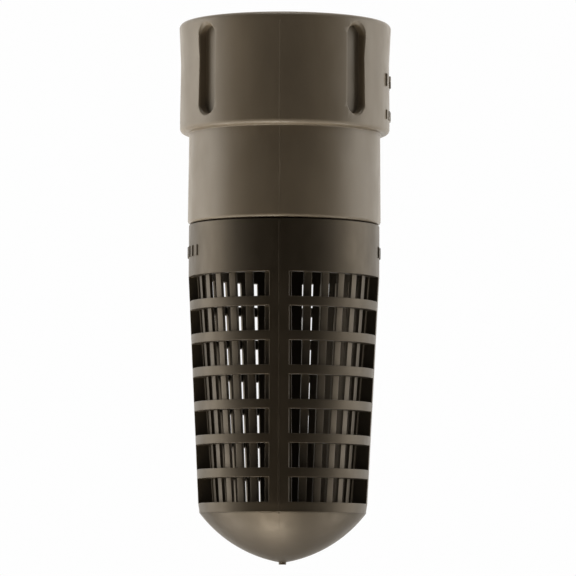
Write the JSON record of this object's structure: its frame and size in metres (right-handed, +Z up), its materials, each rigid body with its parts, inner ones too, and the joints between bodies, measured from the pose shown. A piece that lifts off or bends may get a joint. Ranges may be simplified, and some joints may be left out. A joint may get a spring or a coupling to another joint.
{
  "type": "foot valve",
  "caption": "Suction foot valve: a female threaded socket over a spring-loaded check valve, with a tapered slotted strainer that ends in a closed dome.",
  "frame": {"origin": "centre of the socket's rim, in the plane that the suction pipe enters", "axes": "+Z up along the valve's axis, out of the socket towards the suction pipe. +X points to a side with the raised flow arrow. The strainer's four pillars lie on X and Y."},
  "size_m": [0.0621, 0.062, 0.1581],
  "materials": {
    "socket_plastic": "satin",
    "strainer_plastic": "satin",
    "inner_plastic": "matt",
    "bush_plastic": "smooth",
    "seal_rubber": "matt",
    "stainless": "turned"
  },
  "bodies": {
    "housing": {"valve_body": "socket_plastic", "socket_gasket": "seal_rubber", "upper_guide": "inner_plastic", "upper_bush": "bush_plastic", "return_spring": "stainless", "seat_ring": "inner_plastic", "seat_o_ring": "seal_rubber", "lower_bush": "bush_plastic"},
    "poppet": {"valve_stem": "stainless", "poppet_disc": "inner_plastic", "poppet_seal": "seal_rubber", "seal_plate": "stainless", "plate_washer": "stainless", "stem_nut": "stainless", "spring_washer": "stainless"},
    "strainer": {"strainer_basket": "strainer_plastic", "strainer_dome": "strainer_plastic", "spigot_o_ring": "seal_rubber"}
  },
  "joints": [
    {"name": "poppet_lift", "type": "slide", "parent": "housing", "child": "poppet", "axis": [0, 0, 1], "range_m": [0, 0.0075], "stiffness_N_per_m": 150, "springref_m": -0.006, "deforming": ["return_spring"]},
    {"name": "strainer_off", "type": "slide", "parent": "housing", "child": "strainer", "axis": [0, 0, -1], "range_m": [0, 0.025]}
  ]
}
